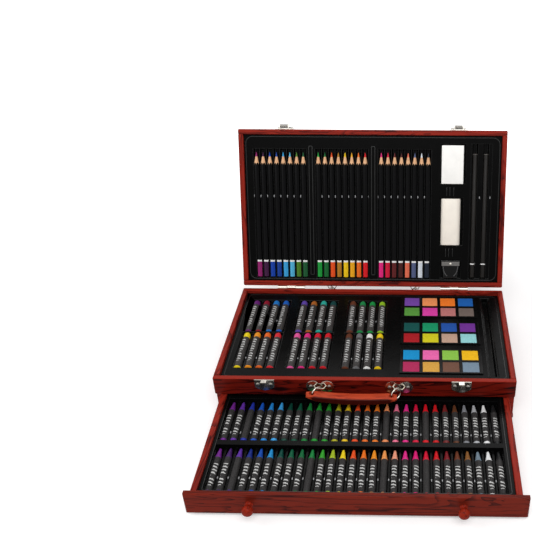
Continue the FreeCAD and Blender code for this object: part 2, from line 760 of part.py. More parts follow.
# ---- handles ----
# A handle is drawn about its pivot: the eyes' straps lie on the X axis, the wall is behind them at
# +Y, and the grip hangs outward and down on a ring through each strap.
def eye_plate(x):
    wall_y = eye_stand_off
    face_y = wall_y - eye_plate_sheet
    plate = box(x - eye_lobe_spacing / 2, x + eye_lobe_spacing / 2, face_y, wall_y,
                -eye_waist / 2, eye_waist / 2)
    for side in (-1, 1):
        lobe_x = x + side * eye_lobe_spacing / 2
        lobe = faceted([(eye_lobe_radius, face_y), (eye_lobe_radius, wall_y)], lobe_sides)
        plate = plate.fuse(moved(lobe, lobe_x, 0, 0))
    top_y = -eye_strap_sheet / 2
    under_y = eye_strap_sheet / 2
    outer_foot = eye_strap_foot + eye_strap_sheet
    outline = [Vector(x - outer_foot, face_y, 0), Vector(x - eye_strap_flat - 0.6, top_y, 0),
               Vector(x + eye_strap_flat + 0.6, top_y, 0), Vector(x + outer_foot, face_y, 0),
               Vector(x + eye_strap_foot, face_y, 0), Vector(x + eye_strap_flat, under_y, 0),
               Vector(x - eye_strap_flat, under_y, 0), Vector(x - eye_strap_foot, face_y, 0)]
    strap = moved(prism(outline, Vector(0, 0, eye_strap_height)), 0, 0, -eye_strap_height / 2)
    return plate.fuse(strap).removeSplitter()


def ring(eye_x, lean):
    """A wire ring that passes behind the strap and leans along the grip to its hole."""
    out = grip_hole_out - ring_back_out
    along = math.sqrt((2 * ring_radius) ** 2 - out ** 2)
    back_x = eye_x - lean * ring_eye_shift
    back_y = eye_stand_off - ring_back_out
    centre = Vector(back_x + lean * along / 2, back_y - out / 2, -ring_drop)
    across = Vector(lean * along, -out, 0).normalize()
    sideways = across.cross(z_axis)

    def wire_point(step, turn):
        bend = 2 * math.pi * step / ring_step_count
        spoke = across * math.cos(bend) + z_axis * math.sin(bend)
        around = 2 * math.pi * turn / ring_wire_sides
        reach = spoke * (ring_radius + ring_wire * math.cos(around))
        return centre + reach + sideways * (ring_wire * math.sin(around))

    faces = []
    for step in range(ring_step_count):
        for turn in range(ring_wire_sides):
            corners = [wire_point(step, turn), wire_point(step + 1, turn),
                       wire_point(step + 1, turn + 1), wire_point(step, turn + 1)]
            faces.append(Part.Face(Part.makePolygon(corners + corners[:1])))
    solid = Part.makeSolid(Part.makeShell(faces))
    return solid if solid.Volume > 0 else solid.reversed()


def hole_place(eye_x, lean):
    out = grip_hole_out - ring_back_out
    along = math.sqrt((2 * ring_radius) ** 2 - out ** 2)
    return eye_x + lean * (along - ring_eye_shift)


def grip(left_hole, right_hole):
    """A bowed wooden bar skinned over sections along its length, with a hole near each end."""
    x0 = left_hole - grip_end_beyond_hole
    x1 = right_hole + grip_end_beyond_hole
    middle_y = eye_stand_off - grip_hole_out
    sections = []
    for step in range(-grip_half_span_count, grip_half_span_count + 1):
        along = step / grip_half_span_count
        bow = 1 - along ** 2
        narrow = grip_end_taper if abs(step) == grip_half_span_count else 0.0
        half = grip_thickness / 2 - narrow
        top = grip_end_top - grip_middle_sag * bow - narrow * 0.5
        foot = grip_end_top - grip_end_height - bow * (
            grip_middle_sag + grip_middle_height - grip_end_height) + narrow * 0.5
        cut = grip_round
        x = (x0 + x1) / 2 + along * (x1 - x0) / 2
        outline = [(-half, top - cut), (-half + cut, top), (half - cut, top), (half, top - cut),
                   (half, foot + cut), (half - cut, foot), (-half + cut, foot), (-half, foot + cut)]
        sections.append([Vector(x, middle_y + y, z) for y, z in outline])
    bar = skinned(sections)
    for hole in (left_hole, right_hole):
        bore = faceted([(grip_hole_radius, -30), (grip_hole_radius, 30)], knob_sides)
        bore = turned(bore, Vector(0, 0, 0), x_axis, 90)
        bar = bar.cut(moved(bore, hole, middle_y, 0))
    return bar.Solids[0]


def rivets(left_hole, right_hole):
    pieces = []
    hole_y = eye_stand_off - grip_hole_out
    for x in (left_hole + rivet_inboard, right_hole - rivet_inboard):
        stud = faceted([(rivet_radius, -3.0), (rivet_radius, 0.6)], stick_sides)
        pieces.append(moved(turned(stud, Vector(0, 0, 0), x_axis, 90), x, hole_y, grip_end_top - 1.0))
    return pieces


def eye_screws(eye_places):
    wall_y = eye_stand_off - eye_plate_sheet
    return [screw_head(x + side * eye_screw_spacing / 2, wall_y, 0)
            for x in eye_places for side in (-1, 1)]


def handle_pieces(spacing, left_lean, right_lean, tilt):
    eyes = (-spacing / 2, spacing / 2)
    left_hole = hole_place(eyes[0], left_lean)
    right_hole = hole_place(eyes[1], right_lean)
    bar = grip(left_hole, right_hole)
    middle = Vector((left_hole + right_hole) / 2, 0, -4.8)
    bar = turned(bar, middle, y_axis, tilt)
    rings = [ring(eyes[0], left_lean), ring(eyes[1], right_lean)]
    return eyes, bar, rings, left_hole, right_hole


def front_handle():
    eyes, bar, rings, left_hole, right_hole = handle_pieces(front_eye_spacing, -1, -1, front_grip_tilt)
    pivot = Vector(front_handle_centre, front - eye_stand_off, front_eye_height)
    for name, x in zip(("front_eye_plate_left", "front_eye_plate_right"), eyes):
        save(name, moved(eye_plate(x), pivot.x, pivot.y, pivot.z))
    save("front_eye_screws", *[moved(piece, pivot.x, pivot.y, pivot.z) for piece in eye_screws(eyes)])
    save("front_handle_grip", moved(bar, pivot.x, pivot.y, pivot.z))
    save("front_handle_rings", *[moved(piece, pivot.x, pivot.y, pivot.z) for piece in rings])
    print("front handle pivot", [round(value, 4) for value in pivot])


def back_handle():
    """The back handle's eyes are on the lid's hinge-side wall, and it hangs plumb from the open lid."""
    eyes, bar, rings, left_hole, right_hole = handle_pieces(back_eye_spacing, 1, -1, 0.0)
    studs = rivets(left_hole, right_hole)
    for stud in studs:
        bar = bar.cut(stud)
    bar = bar.Solids[0]
    pivot = Vector(back_handle_centre, back + eye_stand_off, lid_top - back_eye_below_top)

    def on_lid(shape):
        return opened(moved(turned(shape, Vector(0, 0, 0), x_axis, 180), pivot.x, pivot.y, pivot.z))

    open_pivot = on_lid(Part.Vertex(0, 0, 0)).Point
    loose = [on_lid(piece) for piece in [bar] + rings]
    studs = [on_lid(stud) for stud in studs]
    weights = [piece.Volume * density for piece, density in zip(loose, (wood_density, steel_density, steel_density))]
    centre = Vector(0, 0, 0)
    for piece, weight in zip(loose, weights):
        centre += piece.Solids[0].CenterOfMass * (weight / sum(weights))
    lean = centre - open_pivot
    plumb = math.degrees(math.atan2(-lean.y, -lean.z))
    hung = [turned(piece, open_pivot, x_axis, plumb) for piece in loose + studs]
    for name, x in zip(("back_eye_plate_left", "back_eye_plate_right"), eyes):
        save(name, on_lid(eye_plate(x)))
    save("back_eye_screws", *[on_lid(piece) for piece in eye_screws(eyes)])
    save("back_handle_grip", hung[0])
    save("back_handle_rings", *hung[1:3])
    save("back_handle_rivets", *hung[3:])
    print("back handle pivot", [round(value, 4) for value in open_pivot], "hung by", round(plumb, 2))


case_boards()
case_tray()
paint_pans()
drawer_boards()
for place, name in ((-1, "knob_left"), (1, "knob_right")):
    save(name, pulled(knob(place * knob_spacing / 2)))
drawer_contents()
lid_boards()
lid_contents()
hinges()
latches()
front_handle()
back_handle()
print("lid pin", [round(value, 4) for value in pin_place])
open_latch = opened(Part.Vertex(0, front - latch_pin_out, latch_pin_height)).Point
print("latch pin", [round(value, 4) for value in open_latch])
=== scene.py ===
import math
import random

import bpy
from mathutils import Matrix, Vector


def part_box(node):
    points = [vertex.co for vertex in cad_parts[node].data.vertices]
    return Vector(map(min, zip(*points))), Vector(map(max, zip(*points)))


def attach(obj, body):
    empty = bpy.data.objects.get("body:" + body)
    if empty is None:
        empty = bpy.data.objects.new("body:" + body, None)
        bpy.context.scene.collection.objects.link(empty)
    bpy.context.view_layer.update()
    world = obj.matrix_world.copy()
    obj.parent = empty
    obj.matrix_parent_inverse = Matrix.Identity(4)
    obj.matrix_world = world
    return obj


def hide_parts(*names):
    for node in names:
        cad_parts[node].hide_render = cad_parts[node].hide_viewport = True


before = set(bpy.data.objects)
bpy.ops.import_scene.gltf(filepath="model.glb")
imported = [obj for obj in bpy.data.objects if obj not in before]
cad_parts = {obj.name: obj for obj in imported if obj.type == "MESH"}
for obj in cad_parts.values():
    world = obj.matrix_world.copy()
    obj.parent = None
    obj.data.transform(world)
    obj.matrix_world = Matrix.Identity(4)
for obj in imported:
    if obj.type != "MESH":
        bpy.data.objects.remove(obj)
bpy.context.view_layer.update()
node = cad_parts


# ---- studio ----
# A pale floor without edges, a broad lamp above the front, and weaker ones from the left and from
# behind.  The camera stands in front of the case, a little right of its middle, looking down.
def plain_material(name):
    """A new material, its node tree and its shader."""
    material = bpy.data.materials.new(name)
    material.use_nodes = True
    tree = material.node_tree
    return material, tree, tree.nodes["Principled BSDF"]


def link(tree, start, end):
    tree.links.new(start, end)


def maths(tree, operation, *values):
    """What a Math node makes of values, each a decimal number or another node's output."""
    part = tree.nodes.new("ShaderNodeMath")
    part.operation = operation
    for socket, value in zip(part.inputs, values):
        if isinstance(value, float):
            socket.default_value = value
        else:
            link(tree, value, socket)
    return part.outputs[0]


def ranged(tree, value, low, high, start=0.0, end=1.0):
    """Goes from low to high, and no further, as a value goes from start to end."""
    part = tree.nodes.new("ShaderNodeMapRange")
    for name, number in zip(("To Min", "To Max", "From Min", "From Max"), (low, high, start, end)):
        part.inputs[name].default_value = number
    link(tree, value, part.inputs["Value"])
    return part.outputs["Result"]


def seen_directly(tree):
    """1 for the camera's rays and for those of mirror-like reflections, 0 for all others."""
    ray = tree.nodes.new("ShaderNodeLightPath")
    return maths(tree, "MAXIMUM", ray.outputs["Is Camera Ray"], ray.outputs["Is Glossy Ray"])


def soft_lamp(name, place, target, size, power):
    lamp = bpy.data.lights.new(name, "AREA")
    lamp.shape = "RECTANGLE"
    lamp.size, lamp.size_y = size
    lamp.energy = power
    holder = bpy.data.objects.new(name, lamp)
    holder.location = place
    holder.rotation_euler = (Vector(target) - Vector(place)).to_track_quat("-Z", "Y").to_euler()
    bpy.context.scene.collection.objects.link(holder)


soft_lamp("front_lamp", (0.15, -1.30, 1.75), (0.0, 0.0, 0.05), (1.8, 1.2), 25)
soft_lamp("left_lamp", (-1.60, -0.30, 1.30), (0.0, -0.05, 0.05), (1.2, 1.2), 9)
soft_lamp("back_lamp", (0.30, 1.50, 1.60), (0.0, 0.1, 0.05), (1.6, 1.0), 9)

sky_light = 0.42
world = bpy.data.worlds.new("studio")
world.use_nodes = True
sky_tree = world.node_tree
sky = sky_tree.nodes["Background"]
sky.inputs["Color"].default_value = (1, 1, 1, 1)
link(sky_tree, ranged(sky_tree, seen_directly(sky_tree), sky_light, 1.0), sky.inputs["Strength"])
bpy.context.scene.world = world

floor_size = 14
floor_drop = 0.0004
near_glow, near_reach = 0.32, 0.30
full_glow, full_reach = 1.0, 0.95
bpy.ops.object.select_all(action="DESELECT")
bpy.ops.mesh.primitive_plane_add(size=floor_size, location=(0, 3, -floor_drop))
floor = bpy.context.object
floor.name = "floor"
floor_paint, floor_tree, floor_shader = plain_material("floor_paint")
floor_shader.inputs["Base Color"].default_value = (0.82, 0.82, 0.82, 1)
floor_shader.inputs["Roughness"].default_value = 0.9
floor_shader.inputs["Specular IOR Level"].default_value = 0.0
floor_shader.inputs["Emission Color"].default_value = (1, 1, 1, 1)
floor_place = floor_tree.nodes.new("ShaderNodeNewGeometry")
reach = floor_tree.nodes.new("ShaderNodeVectorMath")
reach.operation = "LENGTH"
link(floor_tree, floor_place.outputs["Position"], reach.inputs[0])
glow = ranged(floor_tree, reach.outputs["Value"], near_glow, full_glow, near_reach, full_reach)
glow = maths(floor_tree, "MULTIPLY", seen_directly(floor_tree), glow)
link(floor_tree, glow, floor_shader.inputs["Emission Strength"])
floor.data.materials.append(floor_paint)

camera_dip = 37.08
camera_turn = 1.08
camera = bpy.data.cameras.new("camera")
camera.lens = 53.04
camera.sensor_width = 36.0
camera.shift_x = -0.2524
camera.shift_y = 0.2056
camera_holder = bpy.data.objects.new("camera", camera)
camera_holder.location = (0.06077, -0.88839, 0.65312)
camera_holder.rotation_euler = (math.radians(90 - camera_dip), 0, math.radians(camera_turn))
bpy.context.scene.collection.objects.link(camera_holder)
bpy.context.scene.camera = camera_holder
bpy.context.scene.view_settings.view_transform = "Standard"


# ---- case boards ----
# Stained and varnished mahogany-red boards: front rail, back board, two sides, bottom and shelf.
# Dark grain runs along each board, and the rail's face is darker than its rim.
def linear(colour):
    """An sRGB colour of 0 to 255, as the linear values that a shader takes."""
    return tuple(((c / 255 + 0.055) / 1.055) ** 2.4 if c > 10 else c / 255 / 12.92 for c in colour)


def own_place(tree):
    """Where a point lies on its object, in metres."""
    return tree.nodes.new("ShaderNodeTexCoord").outputs["Object"]


def noise(tree, place, scale, detail=2.0, distortion=0.0):
    """Noise with so many features to each unit of a place."""
    cloud = tree.nodes.new("ShaderNodeTexNoise")
    cloud.inputs["Scale"].default_value = scale
    cloud.inputs["Detail"].default_value = detail
    cloud.inputs["Distortion"].default_value = distortion
    link(tree, place, cloud.inputs["Vector"])
    return cloud.outputs["Fac"]


def two_tone(tree, value, dark, pale, start, end):
    """Goes from the dark to the pale colour as a value goes from start to end."""
    ramp = tree.nodes.new("ShaderNodeValToRGB")
    low, high = ramp.color_ramp.elements
    low.position = start
    low.color = (*linear(dark), 1)
    high.position = end
    high.color = (*linear(pale), 1)
    link(tree, value, ramp.inputs["Fac"])
    return ramp.outputs["Color"]


def add_relief(tree, shader, height, strength, depth):
    """Makes the surface uneven to a depth in metres."""
    relief = tree.nodes.new("ShaderNodeBump")
    relief.inputs["Strength"].default_value = strength
    relief.inputs["Distance"].default_value = depth
    link(tree, height, relief.inputs["Height"])
    link(tree, relief.outputs["Normal"], shader.inputs["Normal"])


def stained_wood(name, grain, pale, dark, scale=1.0, tilt=0.0, gloss=0.34, figure_depth=0.3,
                 figure=(30.0, 4.5), ring_count=13.0):
    """Varnished wood whose grain runs along an axis of the object, 0 for X, 1 for Y and 2 for Z."""
    material, tree, shader = plain_material(name)
    turn = tree.nodes.new("ShaderNodeMapping")
    turn.inputs["Rotation"].default_value = (tilt, 0, 0)
    link(tree, own_place(tree), turn.inputs["Vector"])

    def grain_noise(across, along, detail, distortion):
        """Noise drawn out along the grain, with so many features to a metre across and along it."""
        stretch = tree.nodes.new("ShaderNodeMapping")
        squeeze = [across * scale] * 3
        squeeze[grain] = along * scale
        stretch.inputs["Scale"].default_value = squeeze
        link(tree, turn.outputs["Vector"], stretch.inputs["Vector"])
        return noise(tree, stretch.outputs["Vector"], 1.0, detail, distortion)

    rings = maths(tree, "MULTIPLY", grain_noise(*figure, 3.0, 0.7), ring_count)
    late_wood = ranged(tree, maths(tree, "FRACT", rings), -1.0, 0.0, 0.0, 0.5)
    streaks = grain_noise(330.0, 11.0, 3.0, 0.2)
    clouds = grain_noise(16.0, 7.0, 2.0, 0.4)
    fibres = grain_noise(1500.0, 60.0, 2.0, 0.0)
    tone = maths(tree, "MULTIPLY_ADD", late_wood, figure_depth, streaks)
    tone = maths(tree, "MULTIPLY_ADD", clouds, 0.5, tone)
    tone = maths(tree, "MULTIPLY_ADD", fibres, 0.45, tone)
    link(tree, two_tone(tree, tone, dark, pale, 0.56, 0.96), shader.inputs["Base Color"])
    shader.inputs["Roughness"].default_value = gloss
    shader.inputs["Specular IOR Level"].default_value = 0.06
    add_relief(tree, shader, fibres, 0.22, 0.0003)
    return material


def second_colour(material, axis, start, end, colour):
    """Another colour past a place on one axis of the object, which comes in between start and end; on the
    front grip it is painted shade.
    """
    tree = material.node_tree
    base = tree.nodes["Principled BSDF"].inputs["Base Color"]
    first_stain = base.links[0].from_socket
    parts = tree.nodes.new("ShaderNodeSeparateXYZ")
    link(tree, own_place(tree), parts.inputs["Vector"])
    mix = tree.nodes.new("ShaderNodeMix")
    mix.data_type = "RGBA"
    mix.inputs["B"].default_value = (*linear(colour), 1)
    link(tree, ranged(tree, parts.outputs[axis], 0.0, 1.0, start, end), mix.inputs["Factor"])
    link(tree, first_stain, mix.inputs["A"])
    link(tree, mix.outputs["Result"], base)


def finish_node(name, material, edge=0.0, segments=2, angle=28, highlight_material=None):
    """Gives a CAD node its material and, where it has an edge width, worn edges; where a highlight material
    is given, the bevel faces take it as a painted highlight.
    """
    board = node[name]
    board.data.materials.clear()
    board.data.materials.append(material)
    if edge:
        weld = board.modifiers.new("weld", "WELD")
        weld.merge_threshold = 0.00002
        flat = board.modifiers.new("flat", "DECIMATE")
        flat.decimate_type = "DISSOLVE"
        flat.angle_limit = math.radians(2)
        worn = board.modifiers.new("worn", "BEVEL")
        worn.width = edge
        worn.segments = segments
        worn.limit_method = "ANGLE"
        worn.angle_limit = math.radians(angle)
        if highlight_material:
            board.data.materials.append(highlight_material)
            worn.material = 1


board_red = (142, 38, 26)
grain_dark = (62, 11, 9)
board_edge = 0.0007
rail_rim_start = 0.0572
rail_rim_full = 0.0576
wood_across = stained_wood("wood_across", 0, board_red, grain_dark)
wood_along = stained_wood("wood_along", 1, board_red, grain_dark)
rail_wood = stained_wood("rail_wood", 0, (104, 21, 12), (26, 4, 4), figure_depth=0.4)
second_colour(rail_wood, "Z", rail_rim_start, rail_rim_full, board_red)
finish_node("case_front_rail", rail_wood, board_edge)
finish_node("case_back_board", wood_across, board_edge)
for name in ("case_left_side", "case_right_side"):
    finish_node(name, wood_along, board_edge)
for name in ("case_bottom_board", "case_shelf"):
    finish_node(name, wood_across)


# ---- case tray ----
# A thin sheet of black plastic, drawn down over a mould into grooves for the pastels, three
# shallow bays for the paint pans and one long bay for a brush.
def moulded_plastic(name, gloss=0.24, colour=(7, 7, 7), shine=0.05):
    """Plastic or thick paint with a faintly uneven surface and gloss."""
    material, tree, shader = plain_material(name)
    waves = noise(tree, own_place(tree), 60.0, 3.0)
    link(tree, ranged(tree, waves, gloss - 0.05, gloss + 0.12), shader.inputs["Roughness"])
    shader.inputs["Base Color"].default_value = (*linear(colour), 1)
    shader.inputs["Specular IOR Level"].default_value = shine
    add_relief(tree, shader, waves, 0.12, 0.0006)
    return material


def soften(piece, width, segments=2, angle=30):
    """Rounds the edges of the active piece where its faces meet at more than an angle."""
    soft = piece.modifiers.new("soft", "BEVEL")
    soft.width = width
    soft.segments = segments
    soft.limit_method = "ANGLE"
    soft.angle_limit = math.radians(angle)
    bpy.ops.object.modifier_apply(modifier="soft")


def raised_line(name, low, high, top, rounding):
    """A low line raised on the flange of a tray, round a rectangle with rounded corners, painted lighter
    grey as a highlight.
    """
    bpy.ops.object.select_all(action="DESELECT")
    bpy.ops.mesh.primitive_plane_add(size=1)
    line = bpy.context.object
    line.name = name
    line.scale = (high[0] - low[0], high[1] - low[1], 1)
    line.location = ((low[0] + high[0]) / 2, (low[1] + high[1]) / 2, top)
    bpy.ops.object.transform_apply(location=True, rotation=True, scale=True)
    bpy.ops.object.mode_set(mode="EDIT")
    bpy.ops.mesh.select_all(action="SELECT")
    bpy.ops.mesh.bevel(offset=rounding, segments=6, affect="VERTICES")
    bpy.ops.mesh.select_all(action="SELECT")
    bpy.ops.mesh.inset(thickness=line_width)
    bpy.ops.mesh.delete(type="FACE")
    bpy.ops.mesh.select_all(action="SELECT")
    bpy.ops.mesh.extrude_region_move(TRANSFORM_OT_translate={"value": (0, 0, line_rise)})
    bpy.ops.mesh.select_all(action="SELECT")
    bpy.ops.mesh.normals_make_consistent(inside=False)
    bpy.ops.object.mode_set(mode="OBJECT")
    soften(line, line_rise / 2)
    line.data.materials.append(tray_highlight)
    return line


line_width = 0.0010
line_rise = 0.0004
case_line_inset = 0.0037
tray_black = moulded_plastic("tray_black")
# A lighter grey than the tray's black, with more shine: painted highlight for the bevelled edges, raised
# lines and ribs.
tray_highlight = moulded_plastic("tray_highlight", 0.2, (17, 17, 17), 0.3)
finish_node("case_tray", tray_black, 0.0006, angle=20, highlight_material=tray_highlight)
case_tray_low, case_tray_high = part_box("case_tray")
case_line = raised_line("case_tray_line", [place + case_line_inset for place in case_tray_low[:2]],
                        [place - case_line_inset for place in case_tray_high[:2]], case_tray_high[2], 0.006)
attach(case_line, "case")


# ---- pastels ----
# Twenty-four oil pastels in two rows of three groups, each a round stick with a domed end and a
# grey paper sleeve with a printed band of slanting strokes.
def turned_piece(name, stations, sides):
    """Extrudes a disc up its axis through each station, a radius and a height."""
    bpy.ops.object.select_all(action="DESELECT")
    radius, height = stations[0]
    bpy.ops.mesh.primitive_circle_add(vertices=sides, radius=radius, fill_type="NGON",
                                      location=(0, 0, height))
    piece = bpy.context.object
    piece.name = name
    bpy.ops.object.transform_apply(location=True, rotation=True, scale=True)
    bpy.ops.object.mode_set(mode="EDIT")
    for next_radius, next_height in stations[1:]:
        bpy.ops.mesh.extrude_region_move(TRANSFORM_OT_translate={"value": (0, 0, next_height - height)})
        grow = next_radius / radius
        bpy.ops.transform.resize(value=(grow, grow, 1))
        radius, height = next_radius, next_height
    bpy.ops.mesh.select_all(action="SELECT")
    bpy.ops.mesh.normals_make_consistent(inside=False)
    bpy.ops.object.mode_set(mode="OBJECT")
    bpy.ops.object.shade_smooth_by_angle(angle=math.radians(40))
    return piece


def wrap_uv(piece, length):
    """Unrolls a turned piece: across is the turn from its upper side, up is the way along it."""
    layer = piece.data.uv_layers.new(name="unrolled")
    for polygon in piece.data.polygons:
        middle = math.atan2(polygon.center.x, -polygon.center.y)
        for loop in polygon.loop_indices:
            point = piece.data.vertices[piece.data.loops[loop].vertex_index].co
            turn = math.atan2(point.x, -point.y)
            turn += round((middle - turn) / (2 * math.pi)) * 2 * math.pi
            layer.data[loop].uv = (turn / (2 * math.pi), point.z / length)


def faces_between(piece, low, high, index):
    """Gives the faces whose middle lies between two heights the material of that index."""
    for polygon in piece.data.polygons:
        if low < polygon.center.z < high:
            polygon.material_index = index


def coloured_copy(base, name, pigment):
    """A copy of a piece with its own mesh and its own pigment."""
    copy = base.copy()
    copy.data = base.data.copy()
    copy.name = name
    bpy.context.scene.collection.objects.link(copy)
    tint = copy.data.color_attributes.new(name="pigment", type="FLOAT_COLOR", domain="POINT")
    tint.data.foreach_set("color", [*linear(pigment), 1.0] * len(copy.data.vertices))
    return copy


def laid_down(roll):
    """The turn that lays an upright stick with its tip to the back, rolled about its own axis."""
    return (Matrix.Rotation(math.radians(-90), 4, "X") @ Matrix.Rotation(roll, 4, "Z")).to_euler()


def join_pieces(pieces, name):
    """Joins pieces into one object at the origin."""
    bpy.ops.object.select_all(action="DESELECT")
    for piece in pieces:
        piece.select_set(True)
    bpy.context.view_layer.objects.active = pieces[0]
    if len(pieces) > 1:
        bpy.ops.object.join()
    joined = bpy.context.object
    joined.name = name
    bpy.ops.object.transform_apply(location=True, rotation=True, scale=True)
    return joined


def remove_piece(piece):
    bpy.data.objects.remove(piece, do_unlink=True)


def wax(name, gloss):
    """Wax, chalk or paint that takes its hue from the piece's pigment, a little crumbly."""
    material, tree, shader = plain_material(name)
    hue = tree.nodes.new("ShaderNodeAttribute")
    hue.attribute_name = "pigment"
    crumbs = noise(tree, own_place(tree), 420.0, 3.0)
    tone = tree.nodes.new("ShaderNodeMix")
    tone.data_type = "RGBA"
    tone.blend_type = "MULTIPLY"
    tone.inputs["Factor"].default_value = 1.0
    link(tree, hue.outputs["Color"], tone.inputs["A"])
    link(tree, ranged(tree, crumbs, 0.72, 1.12), tone.inputs["B"])
    link(tree, tone.outputs["Result"], shader.inputs["Base Color"])
    shader.inputs["Roughness"].default_value = gloss
    shader.inputs["Specular IOR Level"].default_value = 0.15
    add_relief(tree, shader, crumbs, 0.25, 0.0003)
    return material


def printed_sleeve(name, first, last, half_turn, strokes, slant, paper_dark, paper_pale):
    """Grey paper with a band of slanting white strokes along the upper side.

    The band goes from first to last along the stick and, roughly, half_turn to either side.
    """
    material, tree, shader = plain_material(name)

    def both(one, other):
        return maths(tree, "MULTIPLY", one, other)

    unrolled = tree.nodes.new("ShaderNodeUVMap")
    unrolled.uv_map = "unrolled"
    parts = tree.nodes.new("ShaderNodeSeparateXYZ")
    link(tree, unrolled.outputs["UV"], parts.inputs["Vector"])
    across, up = parts.outputs["X"], parts.outputs["Y"]
    wobble = noise(tree, own_place(tree), 260.0)
    band_edge = maths(tree, "MULTIPLY_ADD", wobble, half_turn, half_turn * 0.45)
    in_band = maths(tree, "LESS_THAN", maths(tree, "ABSOLUTE", across), band_edge)
    after = maths(tree, "GREATER_THAN", up, first)
    before = maths(tree, "LESS_THAN", up, last)
    beat = maths(tree, "FRACT", maths(tree, "MULTIPLY_ADD", across, slant, both(up, strokes)))
    weight = maths(tree, "MULTIPLY_ADD", noise(tree, unrolled.outputs["UV"], 9.0), 0.95, -0.06)
    stroke = maths(tree, "LESS_THAN", beat, weight)
    from_pause = maths(tree, "ABSOLUTE", maths(tree, "SUBTRACT", up, first + (last - first) * 0.4))
    past_pause = maths(tree, "GREATER_THAN", from_pause, 0.022)
    inked = both(both(in_band, stroke), both(both(after, before), past_pause))
    fibres = noise(tree, own_place(tree), 700.0)
    ink = tree.nodes.new("ShaderNodeMix")
    ink.data_type = "RGBA"
    ink.inputs["B"].default_value = (*linear((196, 196, 194)), 1)
    link(tree, inked, ink.inputs["Factor"])
    link(tree, two_tone(tree, fibres, paper_dark, paper_pale, 0.3, 0.7), ink.inputs["A"])
    link(tree, ink.outputs["Result"], shader.inputs["Base Color"])
    shader.inputs["Roughness"].default_value = 0.55
    shader.inputs["Specular IOR Level"].default_value = 0.15
    return material


pastel_radius = 0.0048
pastel_end_radius = 0.0045
pastel_length = 0.0800
pastel_sleeve_start = 0.0009
pastel_sleeve_end = 0.0668
pastel_axis = 0.0510
pastel_pitch = 0.014
pastel_groups = (-0.1445, -0.076, -0.0055)
pastel_rows = (("back", 0.0835), ("front", 0.0005))
pastel_roll = 0.35
pastel_slack = 0.0006
pastel_wax = wax("pastel_wax", 0.5)
pastel_sleeve = printed_sleeve("pastel_sleeve", 0.15, 0.76, 0.085, 15.0, 2.0, (42, 40, 40), (74, 71, 70))
pastel_base = turned_piece("pastel_base", (
    (0.0040, 0.0), (pastel_end_radius, 0.0004), (pastel_end_radius, 0.0008),
    (pastel_radius, pastel_sleeve_start), (pastel_radius, pastel_sleeve_end),
    (pastel_end_radius, 0.0670), (pastel_end_radius, 0.0742),
    (0.0042, 0.0768), (0.0033, 0.0788), (0.0018, 0.0797), (0.0004, pastel_length)), 24)
wrap_uv(pastel_base, pastel_length)
pastel_base.data.materials.append(pastel_wax)
pastel_base.data.materials.append(pastel_sleeve)
faces_between(pastel_base, pastel_sleeve_start, pastel_sleeve_end, 1)
pastel_colours = {
    "back": ((104, 36, 118), (140, 22, 44), (34, 120, 200), (30, 96, 190), (98, 72, 170), (176, 100, 40),
             (46, 176, 160), (14, 66, 66), (100, 54, 36), (30, 140, 76), (24, 150, 70), (150, 196, 40)),
    "front": ((240, 214, 30), (236, 150, 36), (232, 106, 40), (214, 44, 54), (232, 92, 160), (222, 44, 130),
              (204, 24, 44), (206, 28, 40), (96, 52, 34), (112, 112, 114), (238, 238, 236), (244, 208, 26)),
}
chance = random.Random(7)
pastels = []
for row, tip in pastel_rows:
    for place, pigment in enumerate(pastel_colours[row]):
        group, seat = divmod(place, 4)
        stick = coloured_copy(pastel_base, "pastel", pigment)
        stick.rotation_euler = laid_down(chance.uniform(-pastel_roll, pastel_roll))
        stick.location = (pastel_groups[group] + (seat - 1.5) * pastel_pitch,
                          tip - pastel_length + chance.uniform(-pastel_slack, pastel_slack), pastel_axis)
        pastels.append(stick)
remove_piece(pastel_base)
pastel_set = join_pieces(pastels, "pastel_set")
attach(pastel_set, "case")
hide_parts("pastels")


def new_block(size, middle):
    """A plain block that is still to be shaped."""
    bpy.ops.object.select_all(action="DESELECT")
    bpy.ops.mesh.primitive_cube_add(size=1)
    block = bpy.context.object
    block.scale = size
    block.location = middle
    bpy.ops.object.transform_apply(location=True, rotation=True, scale=True)
    return block


def tray_nibs(name, places, size, material):
    """Small rounded nibs or ribs of one size, each a tenth sunk below its place on a tray."""
    base = new_block(size, (0, 0, size[2] * 0.4))
    bpy.ops.object.mode_set(mode="EDIT")
    bpy.ops.mesh.select_all(action="SELECT")
    bpy.ops.mesh.bevel(offset=size[0] * 0.3, segments=2, affect="EDGES")
    bpy.ops.object.mode_set(mode="OBJECT")
    bpy.ops.object.shade_smooth_by_angle(angle=math.radians(50))
    base.data.materials.append(material)
    nibs = []
    for place in places:
        nib = base.copy()
        nib.data = base.data.copy()
        nib.location = place
        bpy.context.scene.collection.objects.link(nib)
        nibs.append(nib)
    remove_piece(base)
    return join_pieces(nibs, name)


# Pale grey paint on the nibs between the sticks: painted highlight, for the glints on the black plastic.
nib_highlight = moulded_plastic("nib_highlight", 0.15, (150, 150, 152), 0.5)
nib_size = (0.0013, 0.0034, 0.0012)
pastel_nib_places = (0.0331, -0.0565)
pastel_nibs = tray_nibs("pastel_nibs", [(centre + seat * pastel_pitch, along, pastel_axis)
                                        for centre in pastel_groups for seat in (-1, 0, 1)
                                        for along in pastel_nib_places], nib_size, nib_highlight)
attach(pastel_nibs, "case")


